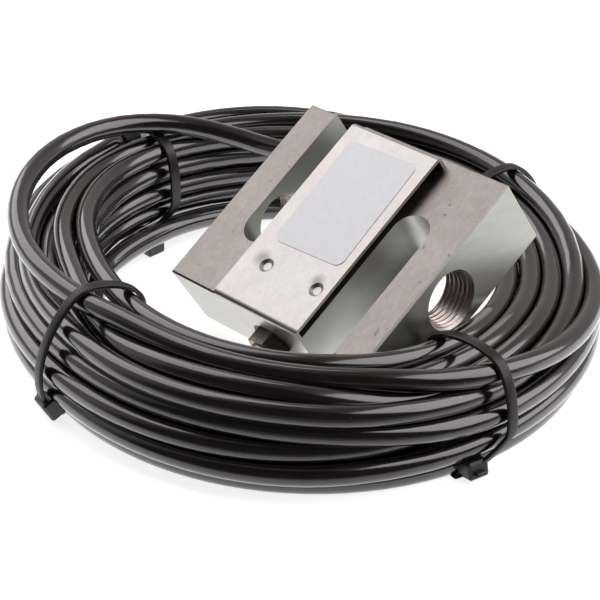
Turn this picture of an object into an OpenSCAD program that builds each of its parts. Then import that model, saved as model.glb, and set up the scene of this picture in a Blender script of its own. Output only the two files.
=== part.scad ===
// S-type load cell lying on its coiled cable.
// Origin at the middle of the block, +X along the load axis, +Z up from the table.

/* [Spring element] */
// Length along the load axis
body_len = 61; // [56:0.5:70]
// Length along the slots
body_w = 50.8; // [46:0.2:60]
// Thickness of the block
body_t = 18; // [14:0.5:24]
// Thickness of each outer bar
bar_t = 8.3; // [6:0.1:10]
// Width of each slot
slot_w = 9.5; // [7:0.1:11]
// How far each slot runs past the middle
slot_past = 10.9; // [8:0.1:14]
// Chamfer on the outer edges
edge_break = 0.4; // [0.2:0.1:0.8]
// Major diameter of the load thread
thread_d = 12.7; // [10:0.1:13]
// Chamfer at the mouths of the load thread
mouth_break = 0.5; // [0.3:0.1:0.8]

/* [Gauge pockets] */
// Radius of the pocket's round ends
pocket_r = 9; // [7:0.1:10]
// Distance of the round ends from the middle
pocket_reach = 6; // [4:0.5:8]
// Thickness of the gauged web
web_t = 2.4; // [1.6:0.1:3.2]
// Side of a square strain gauge
gauge_side = 5; // [4:0.1:6]
// Thickness of a strain gauge with its carrier
gauge_t = 0.15; // [0.1:0.05:0.3]
// Room between the web and the sealing compound
sealant_room = 3; // [2.6:0.1:3.4]
// Thickness of the sealing compound
sealant_t = 2.2; // [1:0.1:3]

/* [Upper cover] */
// Thickness of the sheet
sheet_t = 0.8; // [0.5:0.1:1]
// Width of both covers
cover_w = 26.4; // [24:0.1:28]
// Room between the face and the raised sheet
cover_rise = 2.25; // [1.5:0.05:3]
// Distance of the far flange from the block's far end
cover_inset = 1.5; // [1:0.1:3]
// Outer radius of the two bends
bend_r = 1.2; // [1.1:0.1:1.6]
// Depth of the near flange below the block's upper face
flange_drop = 14; // [11:0.5:17]
// Clearance of the flange round the gland's hexagon
gland_room = 0.8; // [0.3:0.1:1.2]
// Radius of a pressed dimple at its mouth
dimple_r = 1.8; // [1.4:0.1:2.4]
// Radius of a dimple's flat floor
dimple_floor_r = 1; // [0.6:0.1:1.2]
// Depth of a dimple
dimple_deep = 0.5; // [0.3:0.1:0.8]
// Distance of the dimples from the near end
dimple_y = 10; // [7:0.1:12]
// Place of the left dimple across the cover
dimple_left = -5.8; // [-9:0.1:-4]
// Place of the right dimple across the cover
dimple_right = 9.9; // [4:0.1:10]

/* [Rating label] */
// Width of the label
label_w = 20.4; // [16:0.1:22]
// Length of the label
label_len = 28.7; // [20:0.1:30]
// Thickness of the label
label_t = 0.12; // [0.08:0.02:0.3]
// Corner radius of the label
label_r = 2; // [1:0.1:4]
// How far the label is stuck on askew
label_skew = 1.9; // [0:0.1:3]
// Place of the label across the cover
label_x = 0.4; // [-1:0.1:1]
// Place of the label along the cover
label_y = 5.3; // [2:0.1:7]

/* [Terminal board] */
// Width of the board
board_w = 10; // [8:0.5:11]
// Length of the board
board_len = 6; // [5:0.5:7]
// Thickness of the board
board_t = 0.6; // [0.4:0.1:0.8]
// Distance of the board from the pocket's near end
board_in = 3.6; // [3.2:0.1:4]

/* [Gland] */
// Diameter of the gland's threaded hole
gland_hole_d = 6.4; // [6:0.1:7]
// Width of the hexagon across its flats
hex_flats = 9.4; // [8:0.1:10]
// Thickness of the hexagon
hex_t = 4.2; // [3.4:0.1:5]
// Diameter of the clamp nut
nut_d = 8; // [7.4:0.1:8.4]
// Length of the clamp nut
nut_len = 4; // [3:0.1:4.5]
// Thickness of the clamp nut's end wall
nut_wall = 0.8; // [0.6:0.1:1.2]
// Turn of the hexagon in its hole
hex_turn = 14; // [0:1:59]
// Length of the gland and cable inside the block
tail_in = 7.5; // [6:0.1:9]
// Clearance between pieces that fit in each other
fit_gap = 0.05; // [0.02:0.01:0.1]

/* [Cable] */
// Diameter of the cable
cable_d = 4.8; // [4:0.1:5.2]
// Diameter of one conductor
wire_d = 0.7; // [0.5:0.1:0.8]
// Inner radius of the coil
coil_inner = 45.8; // [45.8:0.1:48]
// Outer radius of the coil
coil_outer = 65.2; // [63:0.1:70]
// Height of the coil
coil_high = 24; // [20:0.5:26]
// Diameter of the sleeve on the free end
sleeve_d = 3; // [2:0.1:4]
// Length of the sleeve on the free end
sleeve_len = 5; // [3:0.5:8]

/* [Cable ties] */
// Width of a tie's strap
tie_w = 2.5; // [2:0.1:3.6]
// Thickness of a tie's strap
tie_t = 1; // [0.8:0.1:1.2]
// Length of a tie's head along the strap
head_len = 5.2; // [4:0.1:6]
// Width of a tie's head
head_w = 4.6; // [4:0.1:6]
// Height of a tie's head above the strap
head_high = 3.4; // [2.5:0.1:4]

/* [Pose on the table] */
// Pitch of the block about its load axis
pitch = 31; // [28:0.5:33]
// Tilt of the load axis off level
tilt = 3; // [2:0.5:4]

/* [Hidden] */

$fn = 64;
cut = 1;
face_z = body_t / 2;
near_y = -body_w / 2;
band_w = body_len - 2 * (bar_t + slot_w);
slot_x = band_w / 2 + slot_w / 2;
thread_r = thread_d / 2;

// Upper cover
sheet_top = face_z + cover_rise + sheet_t;
cover_near = near_y - fit_gap - sheet_t;
cover_far = body_w / 2 - cover_inset;
hex_r = hex_flats / sqrt(3);

// Pockets, board and conductors
web_z = web_t / 2;
pocket_deep = face_z - web_z;
gauge_half = (gauge_side * sqrt(2) + 0.4) / 2;
gauge_shift = 7;
board_y = board_in - pocket_reach - pocket_r;
board_top = web_z + board_t;
resistor = [1.6, 0.9, 0.6];
wire_z = board_top + wire_d / 2 + fit_gap;
wire_step = 0.9;
wire_start_y = near_y + tail_in + cut;
wire_end_y = board_y + 2;
wire_low_z = 0.6;
wire_cut = [0, 1, 0];

// Gland, measured outward from the near face
gland_bore_r = cable_d / 2 + fit_gap;
spigot_r = nut_d / 2 - 0.9;
spigot_len = nut_len - nut_wall - 1;
gland_out = hex_t + nut_len;

// Table, coil and ties
table_z = -22.9;
tie_gap = 0.15;
coil_lift = tie_t + tie_gap;
coil_x = -10;
coil_y = -6;
tie_turn = [-103, 175, -8, 78];
head_z = [8, 8, 8, 14];
sleeve_turn = 181;
coil_profile = [[coil_inner, 4], [coil_inner, 19], [coil_inner + 3, coil_lift + coil_high],
    [coil_outer - 5, coil_lift + coil_high], [coil_outer, 19], [coil_outer, 5],
    [coil_outer - 3, coil_lift], [coil_inner + 3, coil_lift]];

// Route of the free cable: straight out of the gland, down, and round to the coil's inner wall
exit_local = [0, near_y - gland_out, 0];
lead_start = to_table(exit_local);
lead_aim = to_table(exit_local - [0, 3, 0]);
lead_points = [[0.5, -35, -20], [-1, -39.5, -20.4], [-4, -43.6, -20.4], [-9, -46.4, -20.4],
    [-14.5, -47.6, -20.4], [-20, -46.8, -20.4], [-26, -45.6, -20.4], [-31.5, -43.2, -20.4]];

// A point of the block's own frame, in the part's frame
function to_table(p) = tilt_y(pitch_x(p));
function pitch_x(p) = [p[0], p[1] * cos(pitch) - p[2] * sin(pitch),
    p[1] * sin(pitch) + p[2] * cos(pitch)];
function tilt_y(p) = [p[0] * cos(tilt) - p[2] * sin(tilt), p[1],
    p[0] * sin(tilt) + p[2] * cos(tilt)];

// A smooth curve through points, with a number of steps in each stretch
function curve_at(a, b, c, d, t) = 0.5 * (2 * b + (c - a) * t
    + (2 * a - 5 * b + 4 * c - d) * t * t + (3 * b - a - 3 * c + d) * t * t * t);
function smooth_curve(p, steps) = concat([for (i = [0:len(p) - 2], k = [0:steps - 1])
    curve_at(p[max(i - 1, 0)], p[i], p[i + 1], p[min(i + 2, len(p) - 1)], k / steps)],
    [p[len(p) - 1]]);
function heading(p, i) = let (v = p[min(i + 1, len(p) - 1)] - p[max(i - 1, 0)]) v / norm(v);
function tube_ring(c, along, r, sides) =
    let (flat = cross([0, 0, 1], along), s = flat / norm(flat), u = cross(along, s))
    [for (k = [0:sides - 1]) c + r * (cos(360 * k / sides) * s + sin(360 * k / sides) * u)];

module block_frame() {
    rotate([pitch, -tilt, 0]) children();
}

// A tube along points, closed by a flat face at each end
module tube(path, r, sides) {
    rings = [for (i = [0:len(path) - 1]) tube_ring(path[i], heading(path, i), r, sides)];
    last = len(path) - 1;
    walls = [for (i = [0:last - 1], k = [0:sides - 1])
        [i * sides + k, i * sides + (k + 1) % sides,
        (i + 1) * sides + (k + 1) % sides, (i + 1) * sides + k]];
    caps = [[for (k = [sides - 1:-1:0]) k], [for (k = [0:sides - 1]) last * sides + k]];
    polyhedron([for (ring = rings) each ring], concat(walls, caps), convexity = 6);
}

// A stadium along Y: two circles and the strip between them
module stadium(r, reach) {
    translate([0, -reach]) circle(r);
    translate([0, reach]) circle(r);
    square([2 * r, 2 * reach], center = true);
}

// A slot that is open at one end: side 1 opens towards +Y, side -1 towards -Y
module slot_outline(side) {
    round_y = -side * (slot_past - slot_w / 2);
    open_y = side * (body_w / 2 + cut);
    translate([0, round_y]) circle(slot_w / 2);
    translate([-slot_w / 2, min(round_y, open_y)]) square([slot_w, abs(open_y - round_y)]);
}

module s_outline() {
    difference() {
        broken_rectangle(body_len, body_w);
        translate([-slot_x, 0]) slot_outline(1);
        translate([slot_x, 0]) slot_outline(-1);
    }
}

// A rectangle with chamfered corners
module broken_rectangle(a, b) {
    x = a / 2;
    y = b / 2;
    e = edge_break;
    polygon([[e - x, -y], [x - e, -y], [x, e - y], [x, y - e],
        [x - e, y], [e - x, y], [-x, y - e], [-x, e - y]]);
}

// One outer bar's load thread, bored along X from the origin outwards
module load_bore() {
    rotate([0, 90, 0]) {
        translate([0, 0, -cut]) cylinder(r = thread_r, h = bar_t + 2 * cut);
        translate([0, 0, bar_t - mouth_break])
            cylinder(r1 = thread_r, r2 = thread_r + 2 * mouth_break, h = 2 * mouth_break);
        translate([0, 0, -mouth_break])
            cylinder(r1 = thread_r + 2 * mouth_break, r2 = thread_r, h = 2 * mouth_break);
    }
}

module spring_element() {
    color("#B3AAA2") block_frame() difference() {
        intersection() {
            linear_extrude(body_t, center = true) s_outline();
            rotate([90, 0, 0]) linear_extrude(body_w, center = true)
                broken_rectangle(body_len, body_t);
            rotate([90, 0, 90]) linear_extrude(body_len, center = true)
                broken_rectangle(body_w, body_t);
        }
        for (side = [0, 180])
            rotate([0, 0, side]) translate([body_len / 2 - bar_t, 0, 0]) load_bore();
        for (side = [0, 180])
            rotate([0, side, 0]) translate([0, 0, web_z])
                linear_extrude(pocket_deep + cut) stadium(pocket_r, pocket_reach);
        translate([0, near_y - cut, 0]) rotate([-90, 0, 0])
            cylinder(r = gland_hole_d / 2, h = cut + body_w / 2 - pocket_reach);
    }
}

// Side view of the bent sheet: near flange, raised sheet and short far flange
module cover_outline() {
    difference() {
        translate([cover_near, face_z - flange_drop])
            square([cover_far - cover_near, sheet_top - face_z + flange_drop]);
        translate([cover_near + sheet_t, face_z - flange_drop - cut])
            square([cover_far - cover_near - 2 * sheet_t,
                sheet_top - sheet_t - face_z + flange_drop + cut]);
        translate([cover_far - sheet_t - cut, face_z - flange_drop - cut])
            square([sheet_t + 2 * cut, flange_drop + cut + fit_gap]);
        bend_corner(cover_near, 1);
        bend_corner(cover_far, -1);
    }
}

// What a bend's outer radius takes off a square corner
module bend_corner(y, side) {
    translate([y, sheet_top]) difference() {
        translate([min(side * bend_r, -side * cut), -bend_r]) square([bend_r + cut, bend_r + cut]);
        translate([side * bend_r, -bend_r]) circle(bend_r);
    }
}

module dimple_cone(r_mouth, r_floor, deep) {
    translate([0, 0, -deep]) cylinder(r1 = r_floor, r2 = r_mouth, h = deep);
}

module at_dimples() {
    for (x = [dimple_left, dimple_right])
        translate([x, near_y + dimple_y, sheet_top]) children();
}

module upper_cover() {
    color("#E4DFDB") block_frame() difference() {
        union() {
            rotate([90, 0, 90]) linear_extrude(cover_w, center = true) cover_outline();
            at_dimples() translate([0, 0, -sheet_t + fit_gap])
                dimple_cone(dimple_r, dimple_floor_r, dimple_deep + fit_gap);
        }
        at_dimples() dimple_cone(dimple_r, dimple_floor_r, dimple_deep);
        at_dimples() translate([0, 0, -fit_gap]) cylinder(r = dimple_r, h = cut);
        translate([0, cover_near - cut, 0]) rotate([-90, 0, 0])
            cylinder(r = hex_r + gland_room, h = 2 * cut + sheet_t);
        translate([-hex_r - gland_room, cover_near - cut, -body_t])
            cube([2 * (hex_r + gland_room), 2 * cut + sheet_t, body_t]);
    }
}

module lower_cover() {
    color("#D8D4CE") block_frame()
        translate([0, 0, -face_z - sheet_t - fit_gap]) linear_extrude(sheet_t)
            square([cover_w, body_w - 2 * cover_inset], center = true);
}

module rating_label() {
    color("#DCDDDE") block_frame()
        translate([label_x, label_y, sheet_top]) rotate([0, 0, label_skew]) linear_extrude(label_t) {
            square([label_w - 2 * label_r, label_len], center = true);
            square([label_w, label_len - 2 * label_r], center = true);
            for (x = [-1, 1], y = [-1, 1])
                translate([x * (label_w / 2 - label_r), y * (label_len / 2 - label_r)])
                    circle(label_r);
        }
}

// A gauge at 45 degrees on the web: up is 1 for the upper side, y is its place along the web
module strain_gauge(up, y) {
    color("#C98A3A") block_frame() mirror([0, 0, up > 0 ? 0 : 1])
        translate([0, y, web_z + gauge_t / 2]) rotate([0, 0, 45])
            cube([gauge_side, gauge_side, gauge_t], center = true);
}

module strain_gauge_1() strain_gauge(1, gauge_shift - gauge_half);
module strain_gauge_2() strain_gauge(1, gauge_shift + gauge_half);
module strain_gauge_3() strain_gauge(-1, -gauge_half);
module strain_gauge_4() strain_gauge(-1, gauge_half);

module terminal_board() {
    color("#2F6B3C") block_frame()
        translate([-board_w / 2, board_y, web_z]) cube([board_w, board_len, board_t]);
}

module trim_resistors() {
    color("#2A2A2C") block_frame()
        for (k = [-1:1])
            translate([2 * resistor[0] * k, board_y + board_len - 1.2, board_top + resistor[2] / 2])
                cube(resistor, center = true);
}

// Sealing compound across a pocket, resting against its wall
module sealant(up) {
    color("#C9C3B8") block_frame() mirror([0, 0, up > 0 ? 0 : 1])
        translate([0, 0, web_z + sealant_room]) linear_extrude(sealant_t)
            stadium(pocket_r - fit_gap, pocket_reach);
}

module upper_sealant() sealant(1);
module lower_sealant() sealant(-1);

// Gland pieces are drawn along Z and turned to point out of the near face
module at_gland() {
    block_frame() translate([0, near_y, 0]) rotate([90, 0, 0]) children();
}

module gland_body() {
    color("#8C8378") at_gland() difference() {
        union() {
            rotate([0, 0, hex_turn]) cylinder(r = hex_r, h = hex_t, $fn = 6);
            translate([0, 0, -tail_in]) cylinder(r = gland_hole_d / 2 - fit_gap, h = tail_in + cut);
            cylinder(r = spigot_r, h = hex_t + spigot_len);
        }
        translate([0, 0, -tail_in - cut]) cylinder(r = gland_bore_r, h = tail_in + gland_out + cut);
    }
}

module gland_nut() {
    color("#9A9187") at_gland() translate([0, 0, hex_t]) difference() {
        cylinder(r = nut_d / 2, h = nut_len);
        translate([0, 0, -cut]) cylinder(r = spigot_r + fit_gap, h = nut_len - nut_wall + cut);
        cylinder(r = gland_bore_r, h = nut_len + cut);
    }
}

module gland_seal() {
    color("#1D1C1B") at_gland() translate([0, 0, hex_t + spigot_len + fit_gap]) difference() {
        cylinder(r = spigot_r, h = nut_len - nut_wall - spigot_len - 2 * fit_gap);
        translate([0, 0, -cut]) cylinder(r = gland_bore_r, h = nut_len);
    }
}

module cable_tail() {
    color("#141110") at_gland() translate([0, 0, -tail_in - cut])
        cylinder(r = cable_d / 2, h = tail_in + cut + gland_out);
}

// A conductor from the end of the cable to the board: place counts them from left to right
module wire(place, shade) {
    x = (place - 1.5) * wire_step;
    start = [x, wire_start_y, wire_low_z];
    bend = smooth_curve([start + wire_cut / 2, start + wire_cut,
        [x, wire_start_y + 2.4, wire_z], [x, wire_end_y, wire_z]], 3);
    color(shade) block_frame() tube(concat([start], bend), wire_d / 2, 8);
}

module wire_red() wire(0, "#B3261E");
module wire_black() wire(1, "#1A1A1A");
module wire_green() wire(2, "#2E7D32");
module wire_white() wire(3, "#E8E6E1");

module cable_lead() {
    bend = smooth_curve(concat([lead_aim], lead_points), 2);
    color("#141110") tube(concat([lead_start], bend), cable_d / 2, 12);
}

module cable_coil() {
    color("#16120F") translate([coil_x, coil_y, table_z])
        rotate_extrude($fn = 96) polygon(coil_profile);
}

// One tie's strap round the coil's section, with its head beside the strap
module cable_tie(index, head_r) {
    color("#1C1B1A") translate([coil_x, coil_y, table_z])
        rotate([0, 0, tie_turn[index]]) rotate([90, 0, 0]) {
        linear_extrude(tie_w, center = true) difference() {
            offset(r = tie_gap + tie_t, $fn = 24) polygon(coil_profile);
            offset(r = tie_gap, $fn = 24) polygon(coil_profile);
        }
        translate([head_r, head_z[index], 0]) cube([head_high, head_len, head_w], center = true);
    }
}

head_out = coil_outer + tie_gap + tie_t + head_high / 2 - fit_gap;
head_in = coil_inner - tie_gap - tie_t - head_high / 2 + fit_gap;

module cable_tie_1() cable_tie(0, head_out);
module cable_tie_2() cable_tie(1, head_in);
module cable_tie_3() cable_tie(2, head_out);
module cable_tie_4() cable_tie(3, head_out);

module cable_end_sleeve() {
    color("#0F0E0E") translate([coil_x, coil_y, table_z + coil_lift + coil_high])
        rotate([0, 0, sleeve_turn]) translate([coil_outer - 7, 0, sleeve_d / 2])
            rotate([90, 0, 0]) cylinder(r = sleeve_d / 2, h = sleeve_len, center = true);
}

spring_element();
upper_cover();
lower_cover();
rating_label();
strain_gauge_1();
strain_gauge_2();
strain_gauge_3();
strain_gauge_4();
terminal_board();
trim_resistors();
upper_sealant();
lower_sealant();
gland_body();
gland_nut();
gland_seal();
cable_tail();
wire_red();
wire_black();
wire_green();
wire_white();
cable_lead();
cable_coil();
cable_tie_1();
cable_tie_2();
cable_tie_3();
cable_tie_4();
cable_end_sleeve();
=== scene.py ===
import math

import bpy
import numpy as np
from mathutils import Matrix, Vector


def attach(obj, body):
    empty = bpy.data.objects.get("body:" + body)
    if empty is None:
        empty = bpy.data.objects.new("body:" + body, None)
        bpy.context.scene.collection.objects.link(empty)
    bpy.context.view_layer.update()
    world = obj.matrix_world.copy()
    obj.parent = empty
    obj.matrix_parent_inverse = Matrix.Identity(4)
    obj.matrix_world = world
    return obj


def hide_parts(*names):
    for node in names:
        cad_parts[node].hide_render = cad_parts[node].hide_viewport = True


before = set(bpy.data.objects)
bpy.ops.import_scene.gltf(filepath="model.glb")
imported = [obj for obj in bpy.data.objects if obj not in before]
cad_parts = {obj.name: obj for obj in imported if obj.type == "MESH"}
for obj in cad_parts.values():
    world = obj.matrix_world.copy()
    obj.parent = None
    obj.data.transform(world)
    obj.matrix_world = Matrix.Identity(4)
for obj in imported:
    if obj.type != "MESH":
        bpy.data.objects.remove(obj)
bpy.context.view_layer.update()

mm = 0.001
table = -22.9                        # height of the table in the part's frame, in mm

block = {
    "length": 61.0,                  # along the load axis
    "pitch": 31.0,                   # degrees about the load axis
    "tilt": 3.0,                     # degrees, right end up
    "thread": 12.7,                  # major diameter of the load thread
    "barThick": 8.3,
}


# Small helpers

def newObject(name, points, faces, smooth=True):
    mesh = bpy.data.meshes.new(name)
    mesh.from_pydata([tuple(float(c) for c in point) for point in points], [], [tuple(f) for f in faces])
    mesh.update()
    mesh.polygons.foreach_set("use_smooth", [smooth] * len(mesh.polygons))
    piece = bpy.data.objects.new(name, mesh)
    bpy.context.scene.collection.objects.link(piece)
    return piece


# Give a new piece its material, hide the CAD nodes that it stands in for, and attach it to the root
def placePiece(piece, material, slotName, *nodes):
    piece.data.materials.clear()
    piece.data.materials.append(material)
    if nodes:
        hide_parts(*nodes)
    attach(piece, "root")
    return piece


# A smooth curve through the points, the same as in the part's own source
def smoothCurve(points, steps):
    knots = [np.array(point, float) for point in points]
    last = len(knots) - 1
    curve = []
    for i in range(last):
        before, start, end, after = knots[max(i - 1, 0)], knots[i], knots[i + 1], knots[min(i + 2, last)]
        for k in range(steps):
            t = k / steps
            curve.append(0.5 * (2 * start + (end - before) * t
                                + (2 * before - 5 * start + 4 * end - after) * t * t
                                + (3 * start - before - 3 * end + after) * t ** 3))
    return curve + [knots[-1]]


# From the block's own frame to the part's
def blockToPart(point):
    turn = (Matrix.Rotation(math.radians(-block["tilt"]), 3, "Y")
            @ Matrix.Rotation(math.radians(block["pitch"]), 3, "X"))
    return np.array(turn @ Vector(point))


# A round tube along a path, closed by a flat face at each end. The radius is one size,
# or a list with one for each point of the path
def sweptTube(name, path, radius, sides):
    path = np.array(path, float)
    ahead = np.gradient(path, axis=0)
    ahead /= np.linalg.norm(ahead, axis=1)[:, None]
    side = np.cross(ahead[0], (0.0, 0.0, 1.0))
    if np.linalg.norm(side) < 0.1:                    # the path starts nearly upright
        side = np.cross(ahead[0], (0.0, 1.0, 0.0))
    turn = np.linspace(0, 2 * math.pi, sides, endpoint=False)
    rings = []
    for k, forward in enumerate(ahead):
        side = side - forward * np.dot(side, forward)
        side /= np.linalg.norm(side)
        up = np.cross(forward, side)
        ring = np.outer(np.cos(turn), side) + np.outer(np.sin(turn), up)
        reach = radius if np.isscalar(radius) else radius[k]
        rings.append(path[k] + reach * ring)
    faces = []
    for k in range(len(path) - 1):
        for s in range(sides):
            n = (s + 1) % sides
            faces.append((k * sides + s, k * sides + n, (k + 1) * sides + n, (k + 1) * sides + s))
    last = (len(path) - 1) * sides
    faces.append(tuple(reversed(range(sides))))
    faces.append(tuple(last + s for s in range(sides)))
    return newObject(name, list(np.concatenate(rings)), faces)


# Camera, at the photograph's angle

view = {
    "lens": 134.53,
    "sensor": 36.0,
    "place": (0.30632, -0.29344, 0.24297),
    "down": 31.0,                    # degrees below level
    "heading": 47.74,                # degrees to the left of +Y
    "nearest": 0.01,
    "farthest": 20.0,
}

cameraData = bpy.data.cameras.new("photoCamera")
cameraData.lens = view["lens"]
cameraData.sensor_width = view["sensor"]
cameraData.clip_start = view["nearest"]
cameraData.clip_end = view["farthest"]
photoCamera = bpy.data.objects.new("photoCamera", cameraData)
photoCamera.location = view["place"]
photoCamera.rotation_euler = (math.radians(90 - view["down"]), 0, math.radians(view["heading"]))
bpy.context.scene.collection.objects.link(photoCamera)
bpy.context.scene.camera = photoCamera
print("camera placed")


# Materials. The node helpers take a material or the world

def newMaterial(name):
    material = bpy.data.materials.new(name)
    material.use_nodes = True
    nodes = material.node_tree.nodes
    nodes.clear()
    shader = nodes.new("ShaderNodeBsdfPrincipled")
    output = nodes.new("ShaderNodeOutputMaterial")
    material.node_tree.links.new(shader.outputs[0], output.inputs[0])
    return material, shader


def addNode(material, kind, settings=None, sockets=None):
    node = material.node_tree.nodes.new(kind)
    for key, value in (settings or {}).items():
        setattr(node, key, value)
    for key, value in (sockets or {}).items():
        node.inputs[key].default_value = value
    return node


def join(material, fromSocket, toSocket):
    material.node_tree.links.new(fromSocket, toSocket)


# Object coordinates, turned and stretched
def placeCoordinates(material, turn=(0, 0, 0), scale=(1, 1, 1)):
    coordinates = addNode(material, "ShaderNodeTexCoord")
    mapping = addNode(material, "ShaderNodeMapping", None, {"Rotation": turn, "Scale": scale})
    join(material, coordinates.outputs["Object"], mapping.inputs["Vector"])
    return mapping.outputs[0]


def noise(material, vector, scale, detail, rough=0.55):
    node = addNode(material, "ShaderNodeTexNoise", None,
                   {"Scale": scale, "Detail": detail, "Roughness": rough})
    join(material, vector, node.inputs["Vector"])
    return node.outputs["Fac"]


# The span holds the two values between which the low shade turns into the high one
def ramp(material, value, span, low, high):
    node = addNode(material, "ShaderNodeValToRGB")
    for mark, place, shade in zip(node.color_ramp.elements, span, (low, high)):
        mark.position = place
        mark.color = (*shade, 1.0)
    join(material, value, node.inputs[0])
    return node.outputs[0]


def grey(level):
    return (level, level, level)


def toned(shade, level):
    return tuple(level * c for c in shade)


def blend(material, amount, first, second, kind="MIX"):
    node = addNode(material, "ShaderNodeMix", {"data_type": "RGBA", "blend_type": kind})
    for socket, value in ((node.inputs[0], amount), (node.inputs[6], first), (node.inputs[7], second)):
        if isinstance(value, bpy.types.NodeSocket):
            join(material, value, socket)
        elif isinstance(value, (int, float)):
            socket.default_value = value
        else:
            socket.default_value = (*value, 1.0)
    return node.outputs[2]


def bump(material, shader, height, strength, depth):
    node = addNode(material, "ShaderNodeBump", None, {"Strength": strength, "Distance": depth})
    join(material, height, node.inputs["Height"])
    join(material, node.outputs[0], shader.inputs["Normal"])


intoBlock = (math.radians(-block["pitch"]), math.radians(block["tilt"]), 0)

steelGrain = {
    "fine": (1500, 4.0, 0.7),        # each noise has its scale, detail and roughness
    "cloud": (90, 4.0, 0.6),
    "streak": (1.0, 3.0, 0.6),
    "drawn": (900, 160, 900),        # stretch of the streaks, which run along the block's y
    "specks": (760, 0.0),
    "cloudShare": 0.45,
    "streakShare": 0.35,
    "toneSpan": (0.32, 0.66),        # noise values between which dark steel turns into light
    "roughSpan": (0.35, 0.65),
    "speckSpan": (0.79, 0.83),
    "speckShare": 0.5,
    "speckTone": 0.35,               # share of the dark shade
    "spotSpan": (0.25, 1.0),       # distance as a share of the spot's width
    "spotShare": 0.62,
    "spotTone": 0.32,              # share of the dark shade
    "topSpan": (0.55, 0.85),         # how far up a face looks where a painted paler side turns into the top
    "sideStreakTone": 0.88,              # share of the sides' shade in the darker streaks
    "bump": 0.25,
    "bumpDepth": 0.05 * mm,
}


# Satin ground steel: fine grain, faint clouds and streaks. Specks, darker spots and paler sides are
# there where they are asked for; a spot has its place in the block's frame and a width. The paler
# sides are painted light, and a spot is painted shade where it stands in for a dent's shading
def groundSteel(name, dark, light, smooth, rough, grain, specks=0.0, sides=None, spotsAndShade=()):
    material, shader = newMaterial(name)
    flat = placeCoordinates(material, intoBlock)
    drawn = placeCoordinates(material, intoBlock, steelGrain["drawn"])
    fine = noise(material, flat, *steelGrain["fine"])
    streak = noise(material, drawn, *steelGrain["streak"])
    cloud = noise(material, flat, *steelGrain["cloud"])
    tone = blend(material, steelGrain["cloudShare"], fine, cloud)
    tone = blend(material, steelGrain["streakShare"], tone, streak)
    shade = ramp(material, tone, steelGrain["toneSpan"], dark, light)
    speckled = noise(material, flat, *steelGrain["specks"])
    speckled = ramp(material, speckled, steelGrain["speckSpan"], grey(0.0),
                    grey(steelGrain["speckShare"] * specks))
    shade = blend(material, speckled, shade, toned(dark, steelGrain["speckTone"]))
    # Darker spots, each fading out over its width; on the cover they are painted shade of its dimples
    for place, width in spotsAndShade:
        away = addNode(material, "ShaderNodeVectorMath", {"operation": "DISTANCE"},
                       {1: tuple(c * mm for c in place)})
        share = addNode(material, "ShaderNodeMath", {"operation": "DIVIDE"}, {1: width * mm})
        join(material, flat, away.inputs[0])
        join(material, away.outputs["Value"], share.inputs[0])
        darkSpot = ramp(material, share.outputs[0], steelGrain["spotSpan"], grey(steelGrain["spotShare"]),
                     grey(0.0))
        shade = blend(material, darkSpot, shade, toned(dark, steelGrain["spotTone"]))
    # Faces that don't face up take the paler sides shade, which is painted light; the streaks on them are
    # the steel's grain
    if sides:
        facing = addNode(material, "ShaderNodeTexCoord")
        turned = addNode(material, "ShaderNodeMapping", None, {"Rotation": intoBlock})
        parts = addNode(material, "ShaderNodeSeparateXYZ")
        join(material, facing.outputs["Normal"], turned.inputs["Vector"])
        join(material, turned.outputs[0], parts.inputs[0])
        flatTop = ramp(material, parts.outputs["Z"], steelGrain["topSpan"], grey(0.0), grey(1.0))
        paintedPaleSides = blend(material, streak, toned(sides, steelGrain["sideStreakTone"]), sides)
        shade = blend(material, flatTop, paintedPaleSides, shade)
    gloss = ramp(material, tone, steelGrain["roughSpan"], grey(rough), grey(smooth))
    join(material, shade, shader.inputs["Base Color"])
    join(material, gloss, shader.inputs["Roughness"])
    shader.inputs["Metallic"].default_value = 1.0
    bump(material, shader, tone, steelGrain["bump"] * grain, steelGrain["bumpDepth"])
    return material


plasticGrain = {
    "detail": 2.0,
    "span": (0.3, 0.7),
    "darkTone": 0.82,
    "roughSpread": 0.05,
    "bump": 0.25,
}


def plainPlastic(name, shade, roughness, grainScale=2500, grainDepth=0.02 * mm):
    material, shader = newMaterial(name)
    fine = noise(material, placeCoordinates(material), grainScale, plasticGrain["detail"])
    dull = roughness + plasticGrain["roughSpread"]
    mottle = ramp(material, fine, plasticGrain["span"], toned(shade, plasticGrain["darkTone"]), shade)
    gloss = ramp(material, fine, plasticGrain["span"], grey(dull), grey(roughness))
    join(material, mottle, shader.inputs["Base Color"])
    join(material, gloss, shader.inputs["Roughness"])
    bump(material, shader, fine, plasticGrain["bump"], grainDepth)
    return material


jacketFinish = {
    "smear": (60, 4.0, 0.6),         # each noise has its scale, detail and roughness
    "fine": (1400, 2.0),
    "dust": (700, 0.0),
    "shadeSpan": (0.35, 0.7),
    "dark": (0.0074, 0.0055, 0.0044),
    "light": (0.0105, 0.0080, 0.0066),
    "dustSpan": (0.865, 0.885),
    "dustShare": 0.6,
    "dustShade": (0.12, 0.11, 0.11),
    "glossSpan": (0.35, 0.72),
    "smooth": 0.15,                  # roughness
    "dull": 0.24,
    "specular": 0.9,
    "specularTint": (0.98, 0.91, 1.0, 1),
    "coat": 1.0,
    "coatRoughness": 0.07,
    "coatIndex": 1.55,
    "bump": 0.10,
    "bumpDepth": 0.02 * mm,
}


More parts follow.
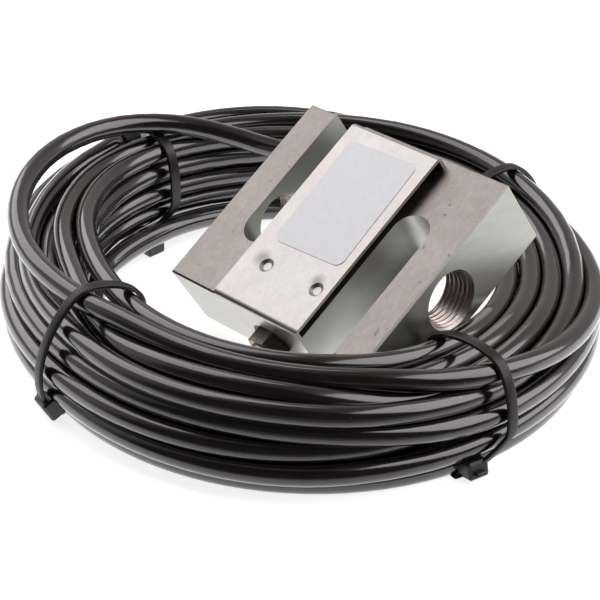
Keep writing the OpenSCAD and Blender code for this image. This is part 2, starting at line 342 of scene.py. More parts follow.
# Glossy black PVC with dull smears and a few specks of dust
def cableJacket():
    material, shader = newMaterial("cableJacket")
    flat = placeCoordinates(material)
    smear = noise(material, flat, *jacketFinish["smear"])
    fine = noise(material, flat, *jacketFinish["fine"])
    dust = noise(material, flat, *jacketFinish["dust"])
    base = ramp(material, smear, jacketFinish["shadeSpan"], jacketFinish["dark"], jacketFinish["light"])
    specks = ramp(material, dust, jacketFinish["dustSpan"], grey(0.0), grey(jacketFinish["dustShare"]))
    base = blend(material, specks, base, jacketFinish["dustShade"])
    gloss = ramp(material, smear, jacketFinish["glossSpan"], grey(jacketFinish["smooth"]),
                 grey(jacketFinish["dull"]))
    join(material, base, shader.inputs["Base Color"])
    join(material, gloss, shader.inputs["Roughness"])
    shader.inputs["Specular IOR Level"].default_value = jacketFinish["specular"]
    shader.inputs["Specular Tint"].default_value = jacketFinish["specularTint"]
    shader.inputs["Coat Weight"].default_value = jacketFinish["coat"]
    shader.inputs["Coat Roughness"].default_value = jacketFinish["coatRoughness"]
    shader.inputs["Coat IOR"].default_value = jacketFinish["coatIndex"]
    bump(material, shader, fine, jacketFinish["bump"], jacketFinish["bumpDepth"])
    return material


# The cable: one length from the gland, round the coil, to its free end

cable = {
    "diameter": 4.8,
    "sides": 16,
    "exit": (0, -33.6, 0),           # in the block's own frame
    "aim": (0, -36.6, 0),
    "lead": [(0.5, -35, -20), (-1, -39.5, -20.4), (-4, -43.6, -20.4), (-9, -46.4, -20.4),
             (-14.5, -47.6, -20.4), (-20, -46.8, -20.4), (-26, -45.6, -20.4), (-31.5, -43.2, -20.4)],
    "leadSteps": 4,
    "joinAfter": 2,                  # points left out at the coil's start, to make room for the join
    "easeBefore": 6,                 # points before and after the join that are eased
    "easeAfter": 8,
    "easeRounds": 12,
    "easeShare": 0.5,
}

coil = {
    "middle": (-10.0, -6.0),
    "start": -120.0,                 # azimuth where the lead joins the coil
    "turns": 17,
    "lastBit": 62.0,                 # degrees past the whole turns
    "stations": 96,                  # points in each turn
    "settle": 420,                   # rounds of pushing touching turns apart
    "slack": 0.02,                   # between turns that touch
    "looseHold": 0.05,               # share of the way to its planned place that a point goes in a round
    "seenHold": 0.45,                # and the same where the photograph fixes the place
    "firmUntil": 0.75,               # share of the rounds after which the hold weakens
    "lateHold": 0.2,                 # share of the hold that is left then
    "smooth": 0.25,                  # share of the way to the middle of the points on either side
    "push": 0.35,                    # share of an overlap that each of two turns gives way
    "nearest": 0.3,                  # distance under which the push weakens
}

# How far the whole bundle stands out near each azimuth, against its place at the front
bundleShift = [(-180, 8.0), (-165, 6.5), (-150, 3.5), (-135, 0.0), (-120, -3.5), (-103, -5.5), (-90, -4.5),
               (-80, -3.3), (-70, -2.3), (-60, -1.2), (-45, 0.0), (-35, 0.9), (-24, 2.0), (0, 1.9)]

# Distance and height where the coil starts, and of each pass at three places round it
startPlace = (44.0, 2.4)
frontPlaces = [(50.6, 2.4), (55.6, 2.4), (60.6, 2.4), (62.5, 6.6), (57.8, 7.0), (53.0, 7.2), (48.2, 7.2),
               (49.4, 12.4), (55.0, 12.4), (62.9, 11.3), (60.4, 15.6), (52.9, 23.2), (48.1, 23.0),
               (51.2, 18.2), (56.0, 17.8), (57.4, 22.6), (61.2, 20.0)]
rightPlaces = [(51.6, 2.4), (56.6, 2.4), (61.7, 2.4), (63.4, 7.1), (58.4, 7.2), (53.4, 7.2), (46.7, 2.4),
               (48.4, 7.2), (48.6, 12.2), (58.5, 12.2), (63.4, 11.9), (64.7, 16.9), (45.6, 17.1),
               (50.4, 17.1), (53.6, 12.2), (55.2, 17.2), (60.0, 17.0)]
farPlaces = [(53.3, 2.4), (59.8, 2.4), (64.8, 2.4), (69.6, 2.4), (72.3, 6.9), (67.6, 7.2), (62.9, 7.2),
             (58.1, 7.2), (57.4, 12.0), (62.2, 12.0), (71.4, 11.8), (71.0, 18.6), (64.0, 29.2),
             (57.4, 22.2), (56.8, 17.4), (61.8, 17.2), (62.3, 22.0), (66.8, 22.2)]

# One turn of the coil: degrees from its start, the place to be at, and how much farther out
oneTurn = [(0, "before", 0.0), (15, "before", 0.0), (48, "far", -1.5), (63, "far", 0.0), (80, "far", 1.5),
           (95, "far", 0.8), (180, "right", 0.0), (232, "right", 0.0), (275, "after", 0.0),
           (360, "after", 0.0)]

# Places that the photograph fixes: the first pass, then azimuth, distance and height along the cable
seenPlaces = {
    "lead": (0, [(-122, 43.2, 2.6), (-135, 47.0, 2.6), (-148, 50.6, 2.7), (-162, 51.6, 3.8),
                 (-173, 49.4, 5.4), (-180, 48.3, 6.3), (175, 49.0, 6.0), (167, 51.4, 4.6),
                 (158, 53.4, 3.2), (140, 54.0, 2.4)]),
    "outer": (11, [(-150, 66.6, 15.5), (-160, 69.3, 17.0), (-170, 70.2, 18.0), (176, 71.0, 19.0),
                   (160, 71.5, 20.6), (145, 70.8, 20.8), (130, 67.8, 20.2), (120, 65.6, 19.0),
                   (110, 63.2, 17.2), (100, 62.6, 16.4), (84, 62.6, 15.8), (68, 62.5, 15.8),
                   (50, 63.2, 16.2), (36, 64.5, 16.8), (22, 65.0, 17.8), (12, 64.7, 18.8),
                   (4, 63.8, 19.8), (-3, 62.8, 20.6), (-9, 61.8, 21.2), (-16, 59.7, 21.6),
                   (-22, 57.8, 22.0), (-29, 55.6, 22.4), (-34, 54.5, 22.7), (-42, 53.0, 23.1),
                   (-51, 51.6, 23.4), (-60, 50.6, 23.7), (-75, 49.6, 24.0), (-90, 50.4, 24.4),
                   (-103, 52.6, 25.0), (-114, 56.0, 26.0), (-122, 58.9, 26.4), (-130, 61.3, 27.0),
                   (-137, 62.9, 28.0), (-145, 64.3, 29.0), (-156, 65.8, 30.0), (-166, 66.2, 30.2),
                   (-174, 65.4, 30.2), (179, 64.0, 29.6), (173, 61.4, 29.0), (167, 58.0, 28.2),
                   (161, 53.0, 27.0), (156, 49.4, 25.4), (150, 47.2, 23.2), (140, 46.2, 20.6),
                   (120, 45.8, 18.4), (90, 45.8, 16.8), (50, 45.8, 16.6), (40, 45.6, 17.0),
                   (31, 45.2, 17.0), (18, 45.4, 17.8), (4, 46.2, 18.8), (-4, 46.8, 19.3),
                   (-10, 47.5, 19.8), (-18, 48.1, 20.4), (-28, 48.8, 21.8), (-34, 48.6, 22.6),
                   (-45, 48.0, 23.0), (-60, 46.4, 23.0), (-75, 44.6, 23.0), (-90, 43.4, 22.8),
                   (-105, 42.8, 22.6), (-120, 43.8, 22.8), (-131, 45.2, 23.0), (-144, 48.6, 23.0),
                   (-156, 51.8, 22.8), (-168, 55.2, 22.6), (177, 57.4, 22.2), (165, 57.8, 21.6),
                   (150, 57.4, 20.8)]),
    "secondRight": (13, [(51, 51.2, 17.0), (37, 50.4, 17.0), (22, 50.0, 17.6), (8, 50.9, 18.2),
                         (-4, 51.5, 18.6), (-12, 52.0, 18.6), (-24, 52.0, 18.0), (-36, 51.4, 18.2)]),
    "wallHigh": (14, [(-150, 49.0, 18.2), (-169, 54.0, 18.0), (177, 56.8, 17.4), (160, 58.6, 16.6)]),
    "secondLeft": (15, [(-121, 53.6, 18.4), (-133, 54.6, 18.6), (-150, 58.4, 18.2), (-165, 60.6, 17.8)]),
    "thirdRight": (15, [(46, 56.0, 17.1), (35, 55.6, 17.1), (23, 55.0, 17.4), (8, 55.4, 17.4),
                        (-3, 56.2, 16.8), (-15, 57.4, 16.8), (-24, 59.0, 18.0), (-30, 59.9, 20.2),
                        (-36, 59.3, 21.8), (-45, 57.3, 22.5), (-58, 55.4, 22.6), (-80, 53.2, 22.2),
                        (-95, 51.0, 21.0), (-110, 48.8, 21.6), (-120, 48.8, 22.0), (-130, 50.2, 22.0),
                        (-142, 53.6, 22.0), (-156, 56.8, 22.0), (-168, 59.9, 22.0), (178, 62.2, 22.0)]),
    "fourthRight": (16, [(45, 59.8, 17.0), (32, 60.2, 17.0), (14, 60.6, 16.2), (-2, 61.6, 15.8),
                         (-12, 62.6, 16.8), (-22, 63.4, 18.8), (-30, 62.9, 19.8), (-42, 61.4, 20.1),
                         (-60, 60.0, 20.1), (-80, 58.2, 20.0), (-103, 55.6, 20.0), (-120, 57.6, 18.8),
                         (-136, 60.0, 18.4), (-148, 62.6, 18.4), (-158, 64.6, 19.4), (-166, 65.8, 20.6),
                         (-174, 66.8, 21.6), (178, 66.8, 22.2), (172, 66.4, 22.6)]),
}


# Degrees from the coil's start to this azimuth, going along the cable
def backAlong(azimuth):
    return (coil["start"] - azimuth) % 360


# Where each point of the coil would like to lie, and how firmly it is held there
def plannedPlaces():
    per = coil["stations"]
    count = int(round((coil["turns"] + coil["lastBit"] / 360) * per)) + 1
    front = [startPlace] + frontPlaces
    right = rightPlaces + [rightPlaces[-1]]
    shiftAt = np.array(bundleShift)
    stops = [stop for stop, _, _ in oneTurn]
    goal = np.zeros((count, 2))
    hold = np.full(count, coil["looseHold"])
    for i in range(count):
        coilPass, part = divmod(i, per)
        along = 360 * part / per
        azimuth = (coil["start"] - along + 180) % 360 - 180
        shift = np.interp(azimuth, shiftAt[:, 0], shiftAt[:, 1])
        places = {
            "before": np.array(front[coilPass]) + (shift, 0),
            "far": np.array(farPlaces[coilPass]),
            "right": np.array(right[coilPass]),
            "after": np.array(front[min(coilPass + 1, len(front) - 1)]) + (shift, 0),
        }
        wanted = np.array([places[name] + (out, 0) for _, name, out in oneTurn])
        goal[i] = [np.interp(along, stops, wanted[:, c]) for c in (0, 1)]
    for coilPass, route in seenPlaces.values():
        at = coilPass * 360 + backAlong(route[0][0])
        marks = [at]
        for (before, *_), (after, *_) in zip(route, route[1:]):
            at += (before - after) % 360
            marks.append(at)
        marks = np.array(marks) / 360 * per
        span = np.arange(math.ceil(marks[0]), min(math.floor(marks[-1]), count - 1) + 1)
        goal[span, 0] = np.interp(span, marks, [distance for _, distance, _ in route])
        goal[span, 1] = np.interp(span, marks, [height for _, _, height in route])
        hold[span] = coil["seenHold"]
    return goal, hold


# The planned places, smoothed along the cable, with touching turns pushed apart
def settledPlaces():
    goal, hold = plannedPlaces()
    per, count, gap = coil["stations"], len(goal), cable["diameter"] + coil["slack"]
    place = goal.copy()
    passes = math.ceil(count / per)
    for done in range(coil["settle"]):
        pull = 1.0 if done < coil["firmUntil"] * coil["settle"] else coil["lateHold"]
        place += pull * hold[:, None] * (goal - place)
        middle = place.copy()
        middle[2:-2] = (place[:-4] + place[4:]) / 2
        place += coil["smooth"] * (middle - place)
        grid = np.full((passes * per, 2), np.nan)
        grid[:count] = place
        grid = grid.reshape(passes, per, 2)
        apart = grid[:, None] - grid[None, :]
        distance = np.sqrt((apart ** 2).sum(-1))
        distance[np.arange(passes), np.arange(passes)] = np.inf
        push = np.clip(gap - distance, 0, None) / np.maximum(distance, coil["nearest"])
        push[np.isnan(push)] = 0
        shift = coil["push"] * np.nansum(push[..., None] * np.nan_to_num(apart), axis=1)
        place += shift.reshape(-1, 2)[:count]
        place[:, 1] = np.maximum(place[:, 1], cable["diameter"] / 2)
    closest = float(np.nanmin(np.where(np.isfinite(distance), distance, np.nan)))
    print("coil settled, nearest turns", round(closest, 2), "mm apart")
    return place


def coilPoint(place, azimuth):
    turn = math.radians(azimuth)
    return np.array([coil["middle"][0] + place[0] * math.cos(turn),
                     coil["middle"][1] + place[0] * math.sin(turn), table + place[1]])


settled = settledPlaces()
winding = [coilPoint(place, coil["start"] - 360 * i / coil["stations"]) for i, place in enumerate(settled)]
leadIn = smoothCurve([blockToPart(cable["aim"])] + cable["lead"], cable["leadSteps"])
cableLine = np.array([blockToPart(cable["exit"])] + leadIn[:-1] + winding[cable["joinAfter"]:])
easeFirst = len(leadIn) - cable["easeBefore"]
easeLast = len(leadIn) + cable["easeAfter"]
for _ in range(cable["easeRounds"]):
    eased = (cableLine[easeFirst - 1:easeLast - 1] + cableLine[easeFirst + 1:easeLast + 1]) / 2
    cableLine[easeFirst:easeLast] += cable["easeShare"] * (eased - cableLine[easeFirst:easeLast])

jacket = cableJacket()
sensorCable = sweptTube("sensorCable", cableLine * mm, cable["diameter"] / 2 * mm, cable["sides"])
placePiece(sensorCable, jacket, "cable_jacket", "cable_lead", "cable_coil")


# Cable ties round the coil

tie = {
    "width": 2.5,
    "thick": 0.95,
    "corner": 0.3,
    "cornerSteps": 3,
    "gap": 0.12,                     # between the strap and the cable
    "points": 120,                   # round the strap's line
    "soft": 13,                      # degrees over which the strap's stiffness rounds its line
    "ease": 0.75,                    # share of its deepest cut into the turns that the line moves out by
    "evened": 9,                     # points over which the line is evened out at the end
    "bulgeAim": (0.6, 0.8),          # outward and upward, where a strap has slack
    "lowPart": 9.0,                  # height under which a strap leans towards its head
    "midHeight": 12.0,               # where the search for the turns inside a strap starts
    "lowest": 0.02,                  # above the table, for what would go under it
    "sharp": 35,                     # degrees between two faces above which their edge stays sharp
    "head": (5.3, 5.0, 3.9),         # along the strap, across it, and out from it
    "headCorner": 0.5,
    "stubLength": 1.4,               # the cut end of the strap, past the head
    "stubThick": 0.9,
    "stubCorner": 0.2,
    "stubPast": 0.4,                 # from the head's end to the stub's middle
    "stubOut": 0.6,                  # from the head's middle outward
    "ties": [
        {"node": "cable_tie_1", "azimuth": -100, "lean": 0.1, "headAt": (62.0, 2.9), "headTurn": 62,
         "bulge": 0.0, "skip": ()},
        {"node": "cable_tie_2", "azimuth": 172.5, "lean": -1.25, "headAt": (51.8, 2.0), "headTurn": 0,
         "bulge": 0.0, "skip": (12, 0)},
        {"node": "cable_tie_3", "azimuth": -3.2, "lean": 0.95, "headAt": (64.6, 2.3), "headTurn": 12,
         "bulge": 0.1, "skip": ()},
        {"node": "cable_tie_4", "azimuth": 84, "lean": 0.0, "headAt": (67.0, 8.0), "headTurn": 90,
         "bulge": 0.0, "skip": ()},
    ],
}


# A closed line that a strap takes round these discs, with some slack towards the outer top
def strapOutline(discs, reach, bulge):
    count = tie["points"]
    turn = np.linspace(0, 2 * math.pi, count, endpoint=False)
    ring = np.stack([np.cos(turn), np.sin(turn)], axis=1)
    middle = np.mean(discs, axis=0)
    tight = np.max((np.array(discs) - middle) @ ring.T, axis=0) + reach
    spread = np.arange(count) - count // 2
    weight = np.exp(-0.5 * (spread * 360 / count / tie["soft"]) ** 2)
    wide = np.convolve(np.tile(tight, 3), weight / weight.sum(), "same")[count:2 * count]
    wide += max(0, float((tight - wide).max())) * tie["ease"]
    support = np.maximum(tight, wide) + bulge * np.clip(ring @ np.array(tie["bulgeAim"]), 0, 1) ** 2
    evened = np.ones(tie["evened"]) / tie["evened"]
    support = np.convolve(np.tile(support, 3), evened, "same")[count:2 * count]
    slope = (np.roll(support, -1) - np.roll(support, 1)) / (2 * (turn[1] - turn[0]))
    line = support[:, None] * ring + slope[:, None] * np.stack([-np.sin(turn), np.cos(turn)], axis=1)
    return line + middle


# A strap's section, with rounded corners: across the strap first, then outward
def roundedSection(width, thick, corner, steps):
    section = []
    for sideways, outward, first in ((1, 1, 0), (-1, 1, 90), (-1, -1, 180), (1, -1, 270)):
        for k in range(steps + 1):
            turn = math.radians(first + 90 * k / steps)
            section.append((sideways * (width / 2 - corner) + corner * math.cos(turn),
                            outward * (thick / 2 - corner) + corner * math.sin(turn)))
    return section


def strapAzimuth(plan, height):
    return plan["azimuth"] - plan["lean"] * max(0, tie["lowPart"] - height)


# A point of the strap in the part's frame; none lies under the table
def strapPoint(azimuth, distance, height, across):
    turn = math.radians(azimuth)
    flat = coilPoint((distance, max(height, tie["lowest"])), azimuth)
    return (flat + across * np.array([-math.sin(turn), math.cos(turn), 0])) * mm


def stationAt(coilPass, azimuth):
    return int(round((coilPass + backAlong(azimuth) / 360) * coil["stations"]))


# The coil's places in the strap's leaning plane
def placesAt(plan):
    discs = []
    for coilPass in range(coil["turns"] + 1):
        at = stationAt(coilPass, strapAzimuth(plan, tie["midHeight"]))
        if at < len(settled):
            at = stationAt(coilPass, strapAzimuth(plan, settled[at][1]))
        if at < len(settled) and coilPass not in plan["skip"]:
            discs.append(settled[at])
    return discs


def makeTie(plan):
    reach = cable["diameter"] / 2 + tie["gap"] + tie["thick"] / 2
    line = strapOutline(placesAt(plan), reach, plan["bulge"])
    section = roundedSection(tie["width"], tie["thick"], tie["corner"], tie["cornerSteps"])
    count, size = len(line), len(section)
    points, faces = [], []
    for k in range(count):
        ahead = line[(k + 1) % count] - line[k - 1]
        ahead /= np.linalg.norm(ahead)
        outward = np.array([ahead[1], -ahead[0]])
        for across, out in section:
            distance, height = line[k] + out * outward
            height = max(height, tie["lowest"])
            points.append(strapPoint(strapAzimuth(plan, height), distance, height, across))
    for k in range(count):
        n = (k + 1) % count
        for s in range(size):
            t = (s + 1) % size
            faces.append((k * size + s, k * size + t, n * size + t, n * size + s))
    addHead(points, faces, plan)
    strap = newObject(plan["node"].replace("cable_tie_", "tieStrap"), points, faces)
    strap.data.set_sharp_from_angle(angle=math.radians(tie["sharp"]))
    return strap


# The tie's locking head, a softened box at the strap's end, and the cut end of the strap
def addHead(points, faces, plan):
    turn = math.radians(plan["headTurn"])
    ahead = np.array([math.cos(turn), math.sin(turn)])
    outward = np.array([ahead[1], -ahead[0]])
    middle = np.array(plan["headAt"])
    azimuth = strapAzimuth(plan, middle[1])
    addBox(points, faces, azimuth, middle, ahead, outward, tie["head"], tie["headCorner"])
    stub = middle + outward * tie["stubOut"] + ahead * (tie["head"][0] / 2 + tie["stubPast"])
    stubSize = (tie["stubLength"], tie["width"], tie["stubThick"])
    addBox(points, faces, azimuth, stub, ahead, outward, stubSize, tie["stubCorner"])


# A box with broken edges: each corner has three points, one on each of its flat sides
def addBox(points, faces, azimuth, middle, ahead, outward, size, corner):
    start = len(points)
    for alongSign in (-1, 1):
        for acrossSign in (-1, 1):
            for outSign in (-1, 1):
                for side in range(3):
                    half = [s / 2 - corner for s in size]
                    half[side] = size[side] / 2
                    distance, height = (middle + ahead * alongSign * half[0]
                                        + outward * outSign * half[2])
                    points.append(strapPoint(azimuth, distance, height, acrossSign * half[1]))

    def at(along, across, out, side):
        return start + ((along > 0) * 4 + (across > 0) * 2 + (out > 0)) * 3 + side

    for s in (-1, 1):
        faces.append((at(s, -1, -1, 0), at(s, 1, -1, 0), at(s, 1, 1, 0), at(s, -1, 1, 0)))
        faces.append((at(-1, s, -1, 1), at(1, s, -1, 1), at(1, s, 1, 1), at(-1, s, 1, 1)))
        faces.append((at(-1, -1, s, 2), at(1, -1, s, 2), at(1, 1, s, 2), at(-1, 1, s, 2)))
        for t in (-1, 1):
            faces.append((at(-1, s, t, 1), at(1, s, t, 1), at(1, s, t, 2), at(-1, s, t, 2)))
            faces.append((at(s, -1, t, 0), at(s, 1, t, 0), at(s, 1, t, 2), at(s, -1, t, 2)))
            faces.append((at(s, t, -1, 0), at(s, t, 1, 0), at(s, t, 1, 1), at(s, t, -1, 1)))
            for u in (-1, 1):
                faces.append((at(s, t, u, 0), at(s, t, u, 1), at(s, t, u, 2)))


tieNylon = plainPlastic("tieNylon", (0.019, 0.0165, 0.0155), roughness=0.34, grainScale=900,
                        grainDepth=0.03 * mm)
tieStraps = [placePiece(makeTie(plan), tieNylon, "tie_nylon", plan["node"]) for plan in tie["ties"]]
print("ties made")


# The sleeve on the cable's free end

sleeve = {
    "places": [0.0, 0.4, 1.6, 2.0, 2.3, 2.6, 5.0, 5.3],
    "radii": [2.5, 2.55, 2.5, 1.9, 1.35, 1.3, 1.3, 1.1],
    "overlap": 1.6,                  # over the cable
    "sides": 24,
}

freeEnd = cableLine[-1]
endAhead = freeEnd - cableLine[-3]
endAhead /= np.linalg.norm(endAhead)
sleeveLine = [(freeEnd + endAhead * (place - sleeve["overlap"])) * mm for place in sleeve["places"]]
endSleeve = sweptTube("endSleeve", sleeveLine, [radius * mm for radius in sleeve["radii"]], sleeve["sides"])
sleeveBlack = plainPlastic("sleeveBlack", (0.012, 0.011, 0.011), roughness=0.4)
placePiece(endSleeve, sleeveBlack, "end_sleeve", "cable_end_sleeve")

print("cable laid")


# Steel of the block, the cover and the gland

# The block's sides shade is painted light, paler than its top; its other spots are darker spots
blockSteel = groundSteel("blockSteel", dark=(0.255, 0.232, 0.212), light=(0.325, 0.298, 0.280),
                         smooth=0.32, rough=0.42, grain=0.8, specks=1.0, sides=(0.53, 0.535, 0.495),
                         spotsAndShade=[((11.6, 20.6, 9), 3.8), ((11.2, 13.4, 9), 0.8), ((12.9, 13.5, 9), 0.6),
                                  ((14.6, 13.7, 9), 0.7), ((11.3, 11.6, 9), 0.6)])
# The two spots on the cover are painted shade in its two pressed dimples
coverSteel = groundSteel("coverSteel", dark=(0.49, 0.466, 0.452), light=(0.57, 0.545, 0.530),
                         smooth=0.34, rough=0.42, grain=0.3,
                         spotsAndShade=[((-7.7, -14.6, 12), 2.7), ((9.2, -13.4, 12), 2.3)])
glandMetal = groundSteel("glandMetal", dark=(0.17, 0.145, 0.12), light=(0.34, 0.30, 0.26),
                         smooth=0.26, rough=0.42, grain=0.6)
threadSteel = groundSteel("threadSteel", dark=(0.38, 0.32, 0.295), light=(0.62, 0.55, 0.515),
                          smooth=0.26, rough=0.38, grain=0.5)


# Load threads

threadShape = {
    "pitch": 1.27,
    "depth": 0.6,
    "crest": 1.35,                   # over 1 leaves a flat crest
    "flank": 2.1,                    # steepness
    "fade": 0.5,                     # length over which the ridges rise at each mouth
    "gap": 0.05,                     # between the ridges' roots and the bore
    "backing": 0.03,                 # of the closed wall behind the ridges
    "mouth": 0.55,                   # length of the broken edge at each mouth
    "around": 72,
    "perPitch": 8,
}


# The helical ridges of one load hole, from mouth to mouth, with a wall behind them
def makeThread(name, side):
    start = block["length"] / 2 - block["barThick"] + threadShape["mouth"]
    length = block["barThick"] - 2 * threadShape["mouth"]
    rows = int(length / threadShape["pitch"] * threadShape["perPitch"])
    major = block["thread"] / 2 - threadShape["gap"]
    around = threadShape["around"]
    points, faces = [], []

    def ringPoint(along, radius, s):
        turn = 2 * math.pi * s / around
        place = (side * (start + along), radius * math.cos(turn), radius * math.sin(turn))
        return blockToPart(place) * mm

    for k in range(rows + 1):
        along = length * k / rows
        fade = min(1, along / threadShape["fade"], (length - along) / threadShape["fade"])
        for s in range(around):
            wave = (along / threadShape["pitch"] - s / around) % 1
            ridge = min(1, max(0, threadShape["crest"] - abs(2 * wave - 1) * threadShape["flank"]))
            points.append(ringPoint(along, major - threadShape["depth"] * ridge * fade, s))
    for along in (0, length):
        for s in range(around):
            points.append(ringPoint(along, major + threadShape["backing"], s))
    back = (rows + 1) * around
    for s in range(around):
        n = (s + 1) % around
        for k in range(rows):
            faces.append((k * around + s, k * around + n, (k + 1) * around + n, (k + 1) * around + s))
        faces.append((s, back + s, back + n, n))
        faces.append((rows * around + s, rows * around + n, back + around + n, back + around + s))
        faces.append((back + s, back + around + s, back + around + n, back + n))
    if side > 0:
        faces = [tuple(reversed(f)) for f in faces]
    return newObject(name, points, faces)


for name, side in (("loadThreadRight", 1), ("loadThreadLeft", -1)):
    placePiece(makeThread(name, side), threadSteel, "block_steel")
print("threads cut")


# Finishes of the CAD pieces

label = {
    "grain": (1200, 2.0),            # scale and detail of the noise
    "span": (0.3, 0.7),
    "dark": (0.62, 0.63, 0.655),
    "light": (0.65, 0.66, 0.68),
    "dull": 0.46,                    # roughness
    "smooth": 0.42,
    "metallic": 0.6,
}


# Silver film of the blank label
def makeLabelFilm():
    material, shader = newMaterial("labelFilm")
    grain = noise(material, placeCoordinates(material, intoBlock), *label["grain"])
    silver = ramp(material, grain, label["span"], label["dark"], label["light"])
    gloss = ramp(material, grain, label["span"], grey(label["dull"]), grey(label["smooth"]))
    join(material, silver, shader.inputs["Base Color"])
    join(material, gloss, shader.inputs["Roughness"])
    shader.inputs["Metallic"].default_value = label["metallic"]
    return material


gaugeFoil = plainPlastic("gaugeFoil", (0.55, 0.26, 0.05), roughness=0.3)
softSealant = plainPlastic("softSealant", (0.55, 0.51, 0.45), roughness=0.45)

finishes = {
    "spring_element": blockSteel,
    "upper_cover": coverSteel,
    "lower_cover": coverSteel,
    "rating_label": makeLabelFilm(),
    "gland_body": glandMetal,
    "gland_nut": glandMetal,
    "gland_seal": plainPlastic("sealRubber", (0.012, 0.012, 0.012), roughness=0.6),
    "cable_tail": jacket,
    "terminal_board": plainPlastic("boardGreen", (0.03, 0.15, 0.05), roughness=0.35),
    "trim_resistors": plainPlastic("chipBlack", (0.02, 0.02, 0.022), roughness=0.4),
    "strain_gauge_1": gaugeFoil,
    "strain_gauge_2": gaugeFoil,
    "strain_gauge_3": gaugeFoil,
    "strain_gauge_4": gaugeFoil,
    "upper_sealant": softSealant,
    "lower_sealant": softSealant,
    "wire_red": plainPlastic("wire_redJacket", (0.45, 0.02, 0.012), roughness=0.4),
    "wire_black": plainPlastic("wire_blackJacket", (0.012, 0.012, 0.012), roughness=0.4),
    "wire_green": plainPlastic("wire_greenJacket", (0.03, 0.20, 0.035), roughness=0.4),
    "wire_white": plainPlastic("wire_whiteJacket", (0.8, 0.78, 0.74), roughness=0.4),
}
for node, material in finishes.items():
    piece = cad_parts[node]
    piece.data.materials.clear()
    piece.data.materials.append(material)
print("CAD pieces dressed")


# Floor, light and background

floor = {
    "size": 6.0,
    "shade": 0.86,
    "roughness": 0.9,
    "glow": 0.80,                    # brightness added as the camera sees it
    "near": 1.30,                    # brightness in reflections, behind the part and beside it
    "front": 0.16,                   # and in front of it
    "edge": (0.05, 0.15),            # metres towards the camera over which it falls off
}


# Pale to the eye everywhere, but dark in reflections on the side where the camera stands
def floorPaint():
    material, shader = newMaterial("paleFloor")
    shader.inputs["Base Color"].default_value = (*grey(floor["shade"]), 1)
    shader.inputs["Roughness"].default_value = floor["roughness"]
    shader.inputs["Specular IOR Level"].default_value = 0.0
    coordinates = addNode(material, "ShaderNodeTexCoord")
    axes = addNode(material, "ShaderNodeSeparateXYZ")
    towards = addNode(material, "ShaderNodeMath", {"operation": "SUBTRACT"})
    join(material, coordinates.outputs["Object"], axes.inputs[0])
    join(material, axes.outputs["X"], towards.inputs[0])
    join(material, axes.outputs["Y"], towards.inputs[1])
    mirrored = ramp(material, towards.outputs[0], floor["edge"], grey(floor["near"]), grey(floor["front"]))
    glow = addNode(material, "ShaderNodeEmission", None, {"Strength": floor["glow"]})
    shine = addNode(material, "ShaderNodeEmission")
    bright = addNode(material, "ShaderNodeAddShader")
    rays = addNode(material, "ShaderNodeLightPath")
    byEye = addNode(material, "ShaderNodeMixShader")
    byShine = addNode(material, "ShaderNodeMixShader")
    output = next(node for node in material.node_tree.nodes if node.type == "OUTPUT_MATERIAL")
    join(material, mirrored, shine.inputs["Color"])
    join(material, shader.outputs[0], bright.inputs[0])
    join(material, glow.outputs[0], bright.inputs[1])
    join(material, rays.outputs["Is Camera Ray"], byEye.inputs[0])
    join(material, shader.outputs[0], byEye.inputs[1])
    join(material, bright.outputs[0], byEye.inputs[2])
    join(material, rays.outputs["Is Glossy Ray"], byShine.inputs[0])
    join(material, byEye.outputs[0], byShine.inputs[1])
    join(material, shine.outputs[0], byShine.inputs[2])
    join(material, byShine.outputs[0], output.inputs[0])
    return material


floorHalf = floor["size"] / 2
floorCorners = [(x * floorHalf, y * floorHalf, table * mm) for x, y in ((-1, -1), (1, -1), (1, 1), (-1, 1))]
paleFloor = newObject("paleFloor", floorCorners, [(0, 1, 2, 3)], smooth=False)
paleFloor.data.materials.append(floorPaint())

softboxes = [
    {"name": "rightSoftbox", "azimuth": 38, "elevation": 44, "distance": 0.9, "size": (1.0, 1.0),
     "radiance": 2.0, "tone": (1.0, 0.985, 0.98)},
    {"name": "leftSoftbox", "azimuth": -175, "elevation": 46, "distance": 0.9, "size": (0.80, 0.95),
     "radiance": 1.5, "tone": (1.0, 0.97, 0.985)},
]


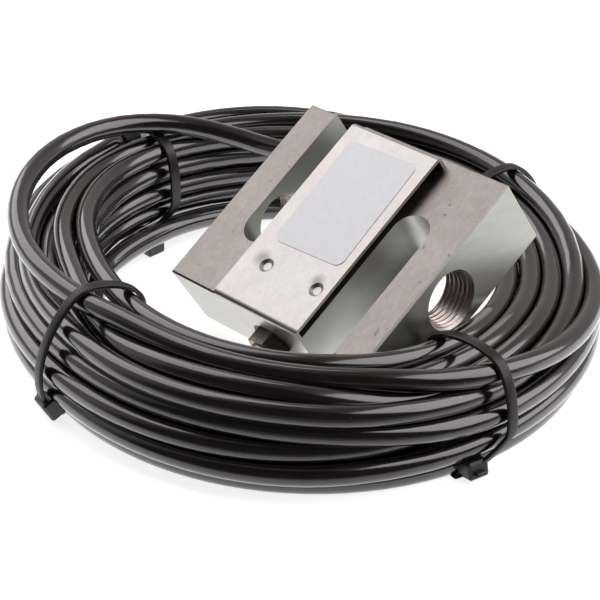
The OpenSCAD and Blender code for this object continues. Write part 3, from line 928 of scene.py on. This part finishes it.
# A soft light panel of an even brightness, facing the part's middle
def addSoftbox(name, azimuth, elevation, distance, size, radiance, tone):
    light = bpy.data.lights.new(name, "AREA")
    light.shape = "RECTANGLE"
    light.size, light.size_y = size
    light.energy = radiance * math.pi * size[0] * size[1]
    light.color = tone
    lamp = bpy.data.objects.new(name, light)
    side, up = math.radians(azimuth), math.radians(elevation)
    outward = Vector((math.cos(up) * math.cos(side), math.cos(up) * math.sin(side), math.sin(up)))
    lamp.location = distance * outward
    lamp.rotation_euler = outward.to_track_quat("Z", "Y").to_euler()
    bpy.context.scene.collection.objects.link(lamp)


for plan in softboxes:
    addSoftbox(**plan)

room = {
    "behind": (0.42, 0.40, 0.385),
    "front": (0.045, 0.042, 0.040),
    "frontSpan": (0.15, 0.60),       # x less y of the direction
    "level": (1, 1, 1),              # shades that darken it upward
    "overhead": (0.35, 0.35, 0.36),
    "upSpan": (0.55, 0.92),          # z of the direction
}


# Surroundings: pale behind the part, dark in front of it where the camera stands, and white to the eye
def addRoom():
    world = bpy.data.worlds.new("studio")
    bpy.context.scene.world = world
    world.use_nodes = True
    world.node_tree.nodes.clear()
    direction = addNode(world, "ShaderNodeTexCoord")
    axes = addNode(world, "ShaderNodeSeparateXYZ")
    towards = addNode(world, "ShaderNodeMath", {"operation": "SUBTRACT"})
    rays = addNode(world, "ShaderNodeLightPath")
    sky = addNode(world, "ShaderNodeBackground")
    output = addNode(world, "ShaderNodeOutputWorld")
    join(world, direction.outputs["Generated"], axes.inputs[0])
    join(world, axes.outputs["X"], towards.inputs[0])
    join(world, axes.outputs["Y"], towards.inputs[1])
    around = ramp(world, towards.outputs[0], room["frontSpan"], room["behind"], room["front"])
    upward = ramp(world, axes.outputs["Z"], room["upSpan"], room["level"], room["overhead"])
    shade = blend(world, 1.0, around, upward, "MULTIPLY")
    shade = blend(world, rays.outputs["Is Camera Ray"], shade, (1, 1, 1))
    join(world, shade, sky.inputs["Color"])
    join(world, sky.outputs[0], output.inputs[0])


addRoom()
bpy.context.scene.view_settings.view_transform = "Standard"
print("stage lit")
